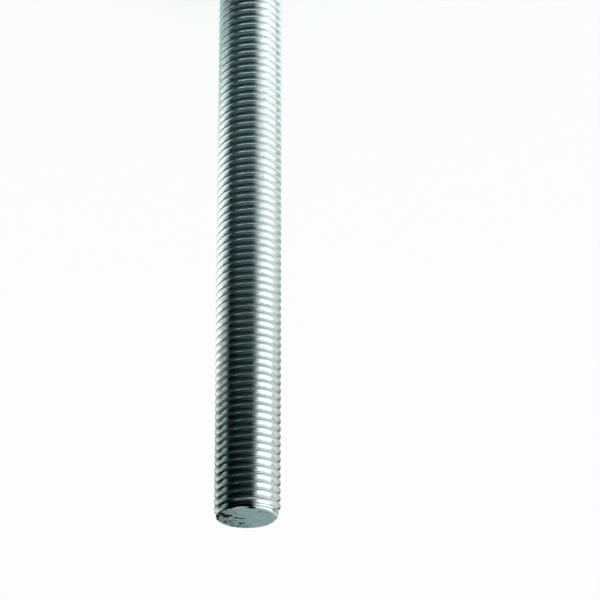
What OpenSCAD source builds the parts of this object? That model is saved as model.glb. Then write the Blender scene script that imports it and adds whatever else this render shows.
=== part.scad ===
// Fully threaded rod: a round bar, tapered to a lead-in at both ends, with a rolled
// metric thread along its whole length. It stands on one end, with its axis on Z.

/* [Thread] */
// Outside diameter, over the crests of the thread
thread_d = 16; // [10:0.5:24]
// Distance along the rod from one turn of the thread to the next
pitch = 2; // [1.25:0.25:3]
// Angle between the two flanks of a groove
flank_angle = 60; // [55:1:65]
// Turn of the thread about the axis, which sets where it runs out at the ends
thread_turn = 340; // [0:5:355]

/* [Rod] */
// Length from end face to end face
rod_len = 150; // [30:1:180]
// Length of the tapered lead-in at each end
taper_len = 2.5; // [0.5:0.1:4]
// How much smaller than the thread's radius each end face is
taper_depth = 0.7; // [0.2:0.1:1.5]

/* [Hidden] */

// Flat facets in one turn of the groove
facets = 20;
// Height of the sharp triangle whose crest and root are cut flat
sharp_h = pitch / 2 / tan(flank_angle / 2);
// Radius of the sharp ridge, whose top eighth the bar's surface cuts off
ridge_r = thread_d / 2 + sharp_h / 8;
// Radius of the groove's floor, which fills the bottom sixth of the triangle
root_r = ridge_r - sharp_h * 5 / 6;
// Corners of one turn's outline: place along the rod in pitches, and radius
outline = [[0, ridge_r], [5 / 12, root_r], [7 / 12, root_r]];
corners = len(outline);
// The thread form starts and stops this many turns beyond the bar's ends
spare_turns = 2;
rows = corners * (ceil(rod_len / pitch) + 2 * spare_turns);

// One corner of the thread form, on the helix of its row
function helix_point(row, col) =
    let (corner = outline[row % corners])
    let (angle = 360 * (col + 0.5) / facets)
    let (turns = floor(row / corners) - spare_turns + corner[0] + col / facets)
    [corner[1] * cos(angle), corner[1] * sin(angle), pitch * turns];

// Number of a corner in the list of points, where each row runs on into the next turn
function index_of(row, col) = col < facets ? row * facets + col : (row + corners) * facets;

// The two triangles of the patch above and beyond one corner
function patch(row, col) = [
    [index_of(row, col), index_of(row + 1, col + 1), index_of(row, col + 1)],
    [index_of(row, col), index_of(row + 1, col), index_of(row + 1, col + 1)],
];

// The edge of the form at a row: once round, then back down the step of one pitch
function rim(row) = concat(
    [for (col = [0 : facets - 1]) row * facets + col],
    [for (step = [corners : -1 : 1]) (row + step) * facets]
);

// Triangles from a rim to one point on the axis
function cone(loop, tip) = [for (k = [0 : len(loop) - 1]) [loop[k], loop[(k + 1) % len(loop)], tip]];

// Solid screw of sharp ridges, longer than the bar at both ends
module thread_form() {
    last_row = rows - corners - 1;
    points = [for (row = [0 : rows - 1]) for (col = [0 : facets - 1]) helix_point(row, col)];
    tips = [[0, 0, -(spare_turns + 1) * pitch], [0, 0, rod_len + (spare_turns + 2) * pitch]];
    flanks = [for (row = [0 : last_row - 1]) for (col = [0 : facets - 1]) each patch(row, col)];
    lower_end = cone(rim(0), len(points));
    upper_end = [for (face = cone(rim(last_row), len(points) + 1)) [face[1], face[0], face[2]]];
    rotate([0, 0, thread_turn])
        polyhedron(points = concat(points, tips), faces = concat(flanks, lower_end, upper_end), convexity = 10);
}

// Round bar with a lead-in at each end, before the thread is rolled
module bar() {
    bar_r = thread_d / 2;
    face_r = bar_r - taper_depth;
    rotate_extrude($fn = 96)
        polygon([
            [0, 0],
            [face_r, 0],
            [bar_r, taper_len],
            [bar_r, rod_len - taper_len],
            [face_r, rod_len],
            [0, rod_len],
        ]);
}

// The rod: where the bar and the screw meet, so that every crest is truly round
module threaded_rod() {
    color([0.68, 0.75, 0.75])
        intersection() {
            bar();
            thread_form();
        }
}

threaded_rod();
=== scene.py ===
"""Looks of the fully threaded rod: its finely rolled thread, zinc, floor, lights and camera.

Lengths named _mm are in millimetres; everything that Blender gets is in metres.
"""

import math

import bpy
from mathutils import Matrix, Vector


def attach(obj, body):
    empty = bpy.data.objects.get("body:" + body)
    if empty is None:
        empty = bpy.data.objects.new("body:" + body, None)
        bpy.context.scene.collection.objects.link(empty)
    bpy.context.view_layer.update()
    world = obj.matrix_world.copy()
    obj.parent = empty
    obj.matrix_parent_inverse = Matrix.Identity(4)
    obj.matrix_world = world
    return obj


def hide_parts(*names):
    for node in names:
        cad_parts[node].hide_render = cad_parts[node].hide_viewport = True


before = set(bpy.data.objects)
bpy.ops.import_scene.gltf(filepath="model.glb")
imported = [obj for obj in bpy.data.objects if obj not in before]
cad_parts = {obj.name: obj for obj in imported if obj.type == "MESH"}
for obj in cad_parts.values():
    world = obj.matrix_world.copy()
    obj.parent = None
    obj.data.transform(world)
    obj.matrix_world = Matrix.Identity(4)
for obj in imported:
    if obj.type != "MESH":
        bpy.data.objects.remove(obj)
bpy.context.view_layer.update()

MM = 0.001

# The rod, as in the part's source
ROD_LEN_MM = 150.0
CREST_R_MM = 8.0
PITCH_MM = 2.0
TAPER_LEN_MM = 2.5
TAPER_DEPTH_MM = 0.7
# How far round the crest's middle is from +X at the base, in degrees, and its place at +X
CREST_TURN = 349
CREST_START_MM = -PITCH_MM * CREST_TURN / 360
# The sawn top is a little off the axis, and the saw's burr was broken at both rims
END_SHIFT_MM = (0.19, -0.12)
RIM_EASE_MM = 0.18
# The bar that cuts the thread to length stands clear of its crests
BAR_R_MM = 8.6
BAR_SIDES = 144

# The rolled outline: half the crest's flat, the radius of its edges and of the groove's floor
CREST_FLAT_MM = 0.09
CREST_EDGE_MM = 0.12
ROOT_ROUND_MM = 0.2887
FLANK = math.radians(60)
STEPS_A_TURN = 72
# Points of the mesh closer than this are one, in metres
WELD = 1e-6


def start_editing():
    bpy.ops.object.mode_set(mode="EDIT")
    bpy.ops.mesh.select_all(action="SELECT")


def stop_editing():
    bpy.ops.object.mode_set(mode="OBJECT")


def apply_modifier(piece, kind, **settings):
    """Adds one modifier with its settings and applies it at once."""
    bpy.context.view_layer.objects.active = piece
    modifier = piece.modifiers.new(kind.lower(), kind)
    for name, value in settings.items():
        setattr(modifier, name, value)
    bpy.ops.object.modifier_apply(modifier=modifier.name)


# --- The threaded rod ---

ROLLED, SAWN_FACE = 0, 1
# A face whose normal stands up more than this is level
LEVEL = 0.999
SMOOTH_UP_TO = math.radians(34)


def number_finishes(piece, is_sawn):
    """Two empty finishes on a piece, the second one on the faces that are sawn."""
    piece.data.materials.append(None)
    piece.data.materials.append(None)
    for face in piece.data.polygons:
        face.material_index = SAWN_FACE if is_sawn(face) else ROLLED


def groove_outline():
    """Points of one turn from crest to crest: millimetres along the rod and from its axis."""
    crest = []
    for degrees in (0, 20, 40, 60):
        turn = math.radians(degrees)
        crest.append(
            (
                CREST_FLAT_MM + CREST_EDGE_MM * math.sin(turn),
                CREST_R_MM - CREST_EDGE_MM * (1 - math.cos(turn)),
            )
        )
    flank_z, flank_r = crest[-1]
    middle = PITCH_MM / 2
    floor_z = middle - ROOT_ROUND_MM * math.sin(FLANK)
    centre_r = (
        flank_r
        - (floor_z - flank_z) * math.tan(FLANK)
        + ROOT_ROUND_MM * math.cos(FLANK)
    )
    root = []
    for degrees in (60, 40, 20, 0):
        turn = math.radians(degrees)
        root.append(
            (
                middle - ROOT_ROUND_MM * math.sin(turn),
                centre_r - ROOT_ROUND_MM * math.cos(turn),
            )
        )
    near_half = crest + root
    far_half = [(PITCH_MM - z, r) for z, r in near_half[-2::-1]]
    return near_half + far_half


def draw_groove():
    """The outline of one turn, extruded point by point from a single vertex."""
    bpy.ops.object.select_all(action="DESELECT")
    bpy.ops.mesh.primitive_plane_add(size=MM)
    groove = bpy.context.object
    start_editing()
    bpy.ops.mesh.merge(type="CENTER")
    points = groove_outline()
    points.append((points[0][0] + PITCH_MM, points[0][1]))
    z, r = points[0]
    first_z = CREST_START_MM - 2 * PITCH_MM + z
    bpy.ops.transform.translate(value=(r * MM, 0, first_z * MM))
    for here, there in zip(points, points[1:]):
        step = ((there[1] - here[1]) * MM, 0, (there[0] - here[0]) * MM)
        bpy.ops.mesh.extrude_region_move(TRANSFORM_OT_translate={"value": step})
    stop_editing()
    return groove


def make_bar():
    """The round bar whose flat ends and tapered lead-ins cut the thread off."""
    slope = TAPER_DEPTH_MM / TAPER_LEN_MM
    run_mm = (BAR_R_MM - CREST_R_MM + TAPER_DEPTH_MM) / slope
    bpy.ops.object.select_all(action="DESELECT")
    bpy.ops.mesh.primitive_cylinder_add(
        vertices=BAR_SIDES,
        radius=BAR_R_MM * MM,
        depth=ROD_LEN_MM * MM,
        location=(0, 0, ROD_LEN_MM / 2 * MM),
    )
    bar = bpy.context.object
    bpy.ops.object.transform_apply(location=True, rotation=True, scale=True)
    start_editing()
    for cut_mm in (run_mm, ROD_LEN_MM - run_mm):
        bpy.ops.mesh.select_all(action="SELECT")
        bpy.ops.mesh.bisect(plane_co=(0, 0, cut_mm * MM), plane_no=(0, 0, 1))
    for end_mm in (0, ROD_LEN_MM):
        select_at(bar, lambda co: abs(co.z - end_mm * MM) < WELD)
        shrink = (CREST_R_MM - TAPER_DEPTH_MM) / BAR_R_MM
        bpy.ops.transform.resize(
            value=(shrink, shrink, 1), center_override=(0, 0, end_mm * MM)
        )
        if end_mm:
            shift = [side * MM for side in (*END_SHIFT_MM, 0)]
            bpy.ops.transform.translate(value=shift)
        bpy.ops.mesh.bevel(offset=RIM_EASE_MM * MM, segments=1, affect="EDGES")
    stop_editing()
    return bar


def select_at(piece, wanted):
    """In edit mode, selects the vertices whose place is wanted, and nothing else."""
    bpy.ops.mesh.select_mode(type="VERT")
    bpy.ops.mesh.select_all(action="DESELECT")
    bpy.ops.object.mode_set(mode="OBJECT")
    for vertex in piece.data.vertices:
        vertex.select = wanted(vertex.co)
    bpy.ops.object.mode_set(mode="EDIT")


def make_rod():
    """The groove's outline screwed up the rod, cut off by the bar and chipped at the top."""
    rod = draw_groove()
    rod.name = rod.data.name = "rolled_thread_rod"
    turns = int(ROD_LEN_MM / PITCH_MM) + 5
    apply_modifier(
        rod,
        "ARRAY",
        use_relative_offset=False,
        use_constant_offset=True,
        constant_offset_displace=(0, 0, PITCH_MM * MM),
        count=turns,
        use_merge_vertices=True,
        merge_threshold=WELD,
    )
    apply_modifier(
        rod,
        "SCREW",
        axis="Z",
        angle=math.radians(360),
        screw_offset=PITCH_MM * MM,
        steps=STEPS_A_TURN,
        render_steps=STEPS_A_TURN,
        use_normal_calculate=True,
    )
    start_editing()
    bpy.ops.mesh.remove_doubles(threshold=WELD)
    bpy.ops.mesh.select_mode(type="EDGE")
    bpy.ops.mesh.select_all(action="DESELECT")
    bpy.ops.mesh.select_non_manifold()
    bpy.ops.mesh.edge_face_add()
    bpy.ops.mesh.select_all(action="SELECT")
    bpy.ops.mesh.normals_make_consistent(inside=False)
    stop_editing()
    number_finishes(rod, lambda face: False)
    bar = make_bar()
    number_finishes(bar, lambda face: abs(face.normal.z) > LEVEL)
    apply_modifier(rod, "BOOLEAN", operation="INTERSECT", solver="EXACT", object=bar)
    bpy.data.objects.remove(bar)
    chips = make_chips()
    number_finishes(chips, lambda face: True)
    apply_modifier(rod, "BOOLEAN", operation="DIFFERENCE", solver="EXACT", object=chips)
    bpy.data.objects.remove(chips)
    bpy.ops.object.select_all(action="DESELECT")
    rod.select_set(True)
    bpy.context.view_layer.objects.active = rod
    start_editing()
    bpy.ops.mesh.remove_doubles(threshold=WELD)
    bpy.ops.mesh.dissolve_degenerate(threshold=WELD)
    stop_editing()
    bpy.ops.object.shade_smooth_by_angle(angle=SMOOTH_UP_TO)
    for face in rod.data.polygons:
        if face.material_index == SAWN_FACE and abs(face.normal.z) > LEVEL:
            face.use_smooth = False
    return rod


# Marks that the saw and rough handling left on the top end, in millimetres:
# place of the middle across the end, half its length and breadth, depth, its turn in degrees
# and the seed of its rough shape
CHIPS = (
    # the gouge at the edge
    (5.7, -2.4, 0.95, 1.25, 0.44, 20, 0),
    (4.7, -1.2, 1.30, 0.90, 0.36, 12, 1),
    (3.7, -1.7, 0.55, 0.45, 0.20, -20, 2),
    (6.8, -1.2, 0.50, 1.00, 0.50, 0, 3),
    (6.85, 0.9, 0.32, 0.95, 0.42, -4, 4),
    # the curved scratch
    (2.5, -0.2, 0.85, 0.34, 0.20, -24, 5),
    (1.25, 0.5, 1.15, 0.36, 0.26, -10, 6),
    # pits
    (5.1, 2.9, 0.50, 0.62, 0.26, 31, 7),
    (4.2, 2.2, 0.38, 0.34, 0.18, 0, 8),
    (2.65, 2.0, 0.40, 0.48, 0.16, 40, 9),
    (1.5, 3.9, 0.38, 0.60, 0.28, 10, 10),
    (0.75, 3.7, 0.34, 0.66, 0.28, -15, 11),
    (0.0, 5.2, 0.50, 0.22, 0.14, 5, 12),
    (2.2, 6.3, 0.42, 0.36, 0.24, 12, 13),
    (3.7, 5.8, 0.52, 0.28, 0.20, 20, 14),
    (4.9, -5.0, 0.30, 0.32, 0.16, 0, 15),
    (4.3, -4.0, 0.24, 0.42, 0.18, 0, 16),
    (-3.4, -4.2, 0.55, 0.22, 0.12, 5, 37),
    (-6.1, 2.7, 0.24, 0.22, 0.14, 0, 18),
    # the notch in the near edge
    (-1.2, -6.75, 1.15, 0.62, 0.40, -3, 19),
)


# How rough a chip's sphere is before it is scaled, and how high its middle is over the end
CHIP_ROUGH_MM = 0.35
CHIP_RAISE_MM = 0.03


def make_chips():
    """One cutter with the rough shape of every chip."""
    pieces = []
    for x, y, length, breadth, depth, turn, seed in CHIPS:
        bpy.ops.object.select_all(action="DESELECT")
        bpy.ops.mesh.primitive_ico_sphere_add(subdivisions=2, radius=MM)
        chip = bpy.context.object
        start_editing()
        bpy.ops.transform.vertex_random(offset=CHIP_ROUGH_MM * MM, seed=seed)
        stop_editing()
        chip.scale = (length, breadth, depth)
        chip.rotation_euler = (0, 0, math.radians(turn))
        place = (x + END_SHIFT_MM[0], y + END_SHIFT_MM[1], ROD_LEN_MM + CHIP_RAISE_MM)
        chip.location = Vector(place) * MM
        bpy.ops.object.transform_apply(location=True, rotation=True, scale=True)
        pieces.append(chip)
    last = pieces.pop()
    bpy.ops.object.select_all(action="DESELECT")
    for chip in pieces:
        chip.select_set(True)
    bpy.context.view_layer.objects.active = pieces[0]
    bpy.ops.object.join()
    apply_modifier(
        pieces[0], "BOOLEAN", operation="UNION", solver="EXACT", use_self=True, object=last
    )
    bpy.data.objects.remove(last)
    return pieces[0]


rod = make_rod()
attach(rod, "root")
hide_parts("threaded_rod")

# --- Shader maths ---


class Value:
    """A socket that takes part in Python sums."""

    def __init__(self, shop, socket):
        self.shop = shop
        self.socket = socket

    def _maths(self, operation, *others):
        return self.shop.node("ShaderNodeMath", {"operation": operation}, others)

    def __add__(self, other):
        return self._maths("ADD", self, other)

    def __sub__(self, other):
        return self._maths("SUBTRACT", self, other)

    def __rsub__(self, other):
        return self._maths("SUBTRACT", other, self)

    def __mul__(self, other):
        return self._maths("MULTIPLY", self, other)

    def __truediv__(self, other):
        return self._maths("DIVIDE", self, other)

    __radd__ = __add__
    __rmul__ = __mul__


class Shop:
    """Makes the nodes of one material or world."""

    def __init__(self, owner):
        owner.use_nodes = True
        self.tree = owner.node_tree
        self.tree.nodes.clear()

    def node(self, kind, settings=None, inputs=(), output=0):
        """A node with its settings, and its sockets set or linked, by number or by name."""
        made = self.tree.nodes.new(kind)
        for name, value in (settings or {}).items():
            setattr(made, name, value)
        pairs = inputs.items() if isinstance(inputs, dict) else enumerate(inputs)
        for key, value in pairs:
            socket = made.inputs[key]
            if isinstance(value, Value):
                self.tree.links.new(value.socket, socket)
            else:
                socket.default_value = value
        return Value(self, made.outputs[output]) if made.outputs else None

    def split(self, vector):
        """The x, y and z of a vector."""
        apart = self.tree.nodes.new("ShaderNodeSeparateXYZ")
        self.tree.links.new(vector.socket, apart.inputs[0])
        return [Value(self, socket) for socket in apart.outputs]

    def maths(self, operation, *values):
        return self.node("ShaderNodeMath", {"operation": operation}, values)

    def ramp(self, value, low, high, start=0.0, end=1.0):
        """Goes smoothly from start to end as value goes from low to high."""
        return self.node(
            "ShaderNodeMapRange",
            {"interpolation_type": "SMOOTHSTEP"},
            (value, low, high, start, end),
        )

    def window(self, value, low, rise, fall, high):
        """Rises smoothly from low to rise and falls again from fall to high."""
        return self.ramp(value, low, rise) * self.ramp(value, fall, high, 1.0, 0.0)

    def noise(self, place, stretch, detail=2.0, roughness=0.5):
        """Noise about 0.5, with this many waves to the metre along x, y and z."""
        multiply = {"operation": "MULTIPLY"}
        stretched = self.node("ShaderNodeVectorMath", multiply, (place, stretch))
        sockets = {"Vector": stretched, "Scale": 1.0, "Detail": detail, "Roughness": roughness}
        return self.node("ShaderNodeTexNoise", {}, sockets)

    def mix(self, factor, first, second, blend="MIX"):
        return self.node(
            "ShaderNodeMix",
            {"data_type": "RGBA", "blend_type": blend},
            {0: factor, 6: first, 7: second},
            output=2,
        )


# --- Zinc ---

PLATE = (0.88, 0.94, 0.935, 1)
DARKER_WORN_CREST = (0.27, 0.38, 0.375, 1)
LIGHTER_WORN_CREST = (0.50, 0.60, 0.595, 1)
GRIME_AND_SHADE = (0.42, 0.50, 0.50, 1)
PIT = (0.10, 0.12, 0.12, 1)
FLANK_ROUGH, CREST_ROUGH = 0.14, 0.36
ROOT_LOW_MM, ROOT_TOP_MM = 6.80, 7.06

SAWN = (0.32, 0.51, 0.51, 1)
STAIN = (0.06, 0.09, 0.09, 1)
HOLLOW_SHADE = (0.012, 0.02, 0.02, 1)


def metal(shop, colour, roughness, height):
    """A bare metal surface whose bumps stand height metres high."""
    normal = shop.node("ShaderNodeBump", {}, {"Distance": 1.0, "Height": height})
    finish = shop.node(
        "ShaderNodeBsdfPrincipled",
        {},
        {"Base Color": colour, "Metallic": 1.0, "Roughness": roughness, "Normal": normal},
    )
    shop.node("ShaderNodeOutputMaterial", {}, (finish,))


def distance_in(shop, z):
    """How far z, in metres, is from the nearer end, in millimetres."""
    return ROD_LEN_MM / 2 - shop.maths("ABSOLUTE", z / MM - ROD_LEN_MM / 2)


def distance_out(shop, x, y):
    """How far x and y, in metres, are from the axis, in millimetres."""
    return shop.maths("SQRT", x * x + y * y) / MM


def rolled_zinc():
    """Bright zinc brushed along the thread: roots darkened partly by grime and partly as
    painted shade, and worn crests darker towards the top.
    """
    zinc = bpy.data.materials.new("bright_zinc")
    shop = Shop(zinc)
    place = shop.node("ShaderNodeTexCoord", output=3)
    x, y, z = shop.split(place)
    patches = shop.noise(place, (260, 260, 420), 3.0, 0.6)
    along_thread = shop.noise(place, (420, 420, 6500), 3.0, 0.6)
    grain = shop.noise(place, (2600, 2600, 3400), 3.0, 0.65)
    nicks = shop.noise(place, (1500, 1500, 2600), 1.0, 0.5)
    radius = distance_out(shop, x, y)
    slope = TAPER_DEPTH_MM / TAPER_LEN_MM
    lead_in = shop.maths("MAXIMUM", TAPER_LEN_MM - distance_in(shop, z), 0.0) * slope
    uneven = (patches - 0.5) * 0.08 + (nicks - 0.5) * 0.08
    rounded = shop.ramp(radius + uneven, CREST_R_MM - 0.12, CREST_R_MM - 0.04)
    turns = shop.maths("ARCTAN2", y, x) / math.tau
    off_crest = shop.maths("PINGPONG", (z / MM - CREST_START_MM) / PITCH_MM - turns, 0.5)
    cut_crest = shop.ramp(off_crest * PITCH_MM + uneven, 0.12, 0.34, 1.0, 0.0)
    crest = shop.maths("MAXIMUM", rounded, cut_crest * shop.ramp(lead_in, 0.0, 0.1))
    # The roots are darkened partly by grime and partly as painted shade in the groove
    root = shop.ramp(radius + (nicks - 0.5) * 0.25, ROOT_LOW_MM, ROOT_TOP_MM, 1.0, 0.0)
    pits = shop.ramp(nicks, 0.22, 0.28, 1.0, 0.0)
    shade = 1.0 + (patches - 0.5) * 0.25 + (along_thread - 0.5) * 0.30
    plate = shop.mix(1.0, PLATE, shade, "MULTIPLY")
    # The worn crests go darker towards the top end
    worn_crest_tone = shop.mix(shop.ramp(z, 0.02, 0.12), LIGHTER_WORN_CREST, DARKER_WORN_CREST)
    colour = shop.mix(crest, plate, worn_crest_tone)
    colour = shop.mix(root, colour, GRIME_AND_SHADE)
    colour = shop.mix(pits * 0.7, colour, PIT)
    roughness = shop.ramp(rounded, 0, 1, FLANK_ROUGH, CREST_ROUGH) + (patches - 0.5) * 0.16
    roughness = roughness + (grain - 0.5) * 0.10
    height = (grain - 0.5) * 1.5e-5 + (along_thread - 0.5) * 8e-6 - pits * 2e-5
    metal(shop, colour, roughness, height)
    return zinc


def sawn_end():
    """The cut end: saw marks and stains, more of them on one side, a painted highlight inside
    the rim, and painted shade in its chips and pits.
    """
    steel = bpy.data.materials.new("sawn_end")
    shop = Shop(steel)
    place = shop.node("ShaderNodeTexCoord", output=3)
    x, y, z = shop.split(place)
    depth = distance_in(shop, z)
    battered = shop.ramp(x + y * 0.3, -1.5 * MM, 5.5 * MM)
    stains = shop.noise(place, (900, 1200, 600), 5.0, 0.7)
    saw_marks = shop.noise(place, (220, 1500, 800), 3.0, 0.6)
    grain = shop.noise(place, (1900, 2800, 1900), 3.0, 0.7)
    blots = shop.noise(place, (900, 1300, 900), 3.0, 0.6)
    off_x, off_y = (shift * MM for shift in END_SHIFT_MM)
    from_middle = distance_out(shop, x - off_x, y - off_y)
    # A painted highlight: a brighter ring just inside the end's rim
    rim_highlight = shop.window(from_middle, 6.65, 6.85, 7.0, 7.15)
    stain = shop.ramp(blots - battered * 0.13, 0.26, 0.38, 1.0, 0.0)
    shade = 1.0 + (stains - 0.5) * (1.4 + battered * 3.0) + (saw_marks - 0.5) * 1.0
    shade = shade + (grain - 0.5) * (1.0 + battered * 2.5) + rim_highlight * 0.5
    colour = shop.mix(1.0, SAWN, shade - battered * 0.12, "MULTIPLY")
    colour = shop.mix(stain * 0.8, colour, STAIN)
    # Painted shade: the chips and pits go nearly black with their depth below the end
    colour = shop.mix(shop.ramp(depth, 0.01, 0.10), colour, HOLLOW_SHADE)
    roughness = 0.36 + (stains - 0.5) * 0.2 + battered * 0.06
    height = (saw_marks - 0.5) * 2.4e-5 + (grain - 0.5) * (1.2e-5 + battered * 2e-5)
    metal(shop, colour, roughness, height - stain * 2e-5)
    return steel


rod.data.materials[ROLLED] = rolled_zinc()
rod.data.materials[SAWN_FACE] = sawn_end()

# --- Floor, light and camera ---

bpy.ops.object.select_all(action="DESELECT")
bpy.ops.mesh.primitive_circle_add(vertices=96, radius=6, fill_type="NGON")
floor = bpy.context.object
floor.name = "floor"
paper = bpy.data.materials.new("white_paper")
shop = Shop(paper)
matt = shop.node(
    "ShaderNodeBsdfPrincipled",
    {},
    {"Base Color": (0.96, 0.96, 0.96, 1), "Roughness": 1.0, "Specular IOR Level": 0.0},
)
# The camera sees the paper half backlit, so that it is white and still keeps the shadow
backlit = shop.node("ShaderNodeEmission", {}, ((1, 1, 1, 1), 1.0))
to_camera = shop.node("ShaderNodeLightPath") * 0.5
paper_look = shop.node("ShaderNodeMixShader", {}, (to_camera, matt, backlit))
shop.node("ShaderNodeOutputMaterial", {}, (paper_look,))
floor.data.materials.append(paper)
floor.visible_glossy = False

world = bpy.data.worlds.new("studio")
bpy.context.scene.world = world
shop = Shop(world)
sky = shop.node("ShaderNodeBackground", {}, ((1, 1, 1, 1), 1.0))
shop.node("ShaderNodeOutputWorld", {}, (sky,))

# What the zinc mirrors: a round tent with soft panels of lit paper
TENT_R = 0.25
TENT_MIDDLE = 0.13
NEUTRAL = (1.0, 0.985, 0.985)
COOL = (0.66, 1.0, 1.0)
PALE = (0.85, 1.0, 1.0)
# Each window gives the degrees where a panel begins, is full, begins to fade and ends:
# round from the front towards +X, and above the tent's middle
PANELS = (
    # name, tint, strength, window round, window up, rise of the panel for each degree round
    ("key", NEUTRAL, 0.25, (-162, -149, -50, -14), (-200, -199, 48, 63), 0),
    ("key_low", NEUTRAL, 1.20, (-140, -124, -64, -14), (-200, -199, -34, -20), 0),
    ("key_mid", NEUTRAL, 1.55, (-145, -115, -54, -29), (-28, -14, -12, 2), 0),
    ("key_face", NEUTRAL, 1.67, (-112, -94, -52, -20), (-14, 6, 34, 55), 0),
    ("right_back", PALE, 0.72, (-237, -209, -101, -47), (-200, -199, -47, 20), 0),
    ("back_high", NEUTRAL, 0.50, (-162, -137, -55, -45), (-2, 17, 200, 201), 0),
    ("top_front", COOL, 0.84, (-60, -50, 66, 94), (56, 69, 70, 88), 0),
    ("front_low", COOL, 0.12, (-45, -25, 70, 110), (-53, -41, -28, -15), 0),
    ("left_low", COOL, 0.60, (92, 125, 229, 242), (-200, -199, -30, 10), 0),
    ("left_band", NEUTRAL, 1.92, (98, 127, 137, 186), (-5, 8, 11, 23), -0.97),
    ("edge_left", COOL, 0.50, (78, 102, 125, 150), (-38, -25, 2, 20), 0),
    ("edge_high", COOL, 0.30, (85, 95, 96, 112), (29, 42, 45, 60), 0),
    ("back", NEUTRAL, 0.75, (132, 152, 195, 215), (5, 18, 34, 52), 0),
)


def make_tent():
    """A sphere of paper that only shiny surfaces see, lit where its panels are."""
    bpy.ops.object.select_all(action="DESELECT")
    bpy.ops.mesh.primitive_uv_sphere_add(
        segments=96, ring_count=48, radius=TENT_R, location=(0, 0, TENT_MIDDLE)
    )
    tent = bpy.context.object
    tent.name = "light_tent"
    bpy.ops.object.shade_smooth()
    for ray in ("camera", "diffuse", "transmission", "shadow", "volume_scatter"):
        setattr(tent, "visible_" + ray, False)
    paper = bpy.data.materials.new("lit_tent")
    paper.cycles.emission_sampling = "NONE"
    shop = Shop(paper)
    place = shop.node("ShaderNodeTexCoord", output=3)
    x, y, z = shop.split(place)
    round_angle = shop.maths("DEGREES", shop.maths("ARCTAN2", x, 0 - y))
    height = shop.maths("DEGREES", shop.maths("ARCSINE", z / TENT_R))
    dark = light = (0, 0, 0, 1)
    for _name, tint, strength, across, up, slope in PANELS:
        middle = (across[0] + across[3]) / 2
        turned = shop.maths("WRAP", round_angle - middle, 180.0, -180.0)
        level = shop.window(turned, *(edge - middle for edge in across))
        level = level * shop.window(height - turned * slope, *up)
        panel = shop.mix(level * strength, dark, (*tint, 1))
        light = shop.mix(1.0, light, panel, "ADD")
    glow = shop.node("ShaderNodeEmission", {}, (light, 1.0))
    shop.node("ShaderNodeOutputMaterial", {}, (glow,))
    tent.data.materials.append(paper)


make_tent()


# Measured in the photograph, in pixels: the lens, the rod across its end and the end's middle
PICTURE_PX = 600
FOCAL_PX = 3400.0
DIAMETER_PX = 66.9
END_X_PX, END_Y_PX = 247.2, 518.0
# How steeply the camera looks down on the end
LOOK_DOWN = math.radians(20.4)


def aim_camera():
    """A long lens that looks down on the rod, rolled half a turn as in the photograph."""
    across = (END_X_PX - PICTURE_PX / 2) / FOCAL_PX
    down = (END_Y_PX - PICTURE_PX / 2) / FOCAL_PX
    tilt = LOOK_DOWN + math.atan(down)
    ahead = Vector((0, math.cos(tilt), -math.sin(tilt)))
    up = Vector((0, math.sin(tilt), math.cos(tilt)))
    left = Vector((-1, 0, 0))
    distance = FOCAL_PX * 2 * CREST_R_MM * MM / DIAMETER_PX
    ray = ahead + left * across + up * down
    place = Vector((0, 0, ROD_LEN_MM * MM)) - distance * ray
    bpy.ops.object.camera_add()
    camera = bpy.context.object
    camera.name = "photo_camera"
    turned = Matrix((left, -up, -ahead)).transposed().to_4x4()
    camera.matrix_world = Matrix.Translation(place) @ turned
    camera.data.lens = camera.data.sensor_width * FOCAL_PX / PICTURE_PX
    camera.data.clip_start = 0.01
    camera.data.clip_end = 100
    bpy.context.scene.camera = camera


aim_camera()

bpy.context.scene.view_settings.view_transform = "Standard"
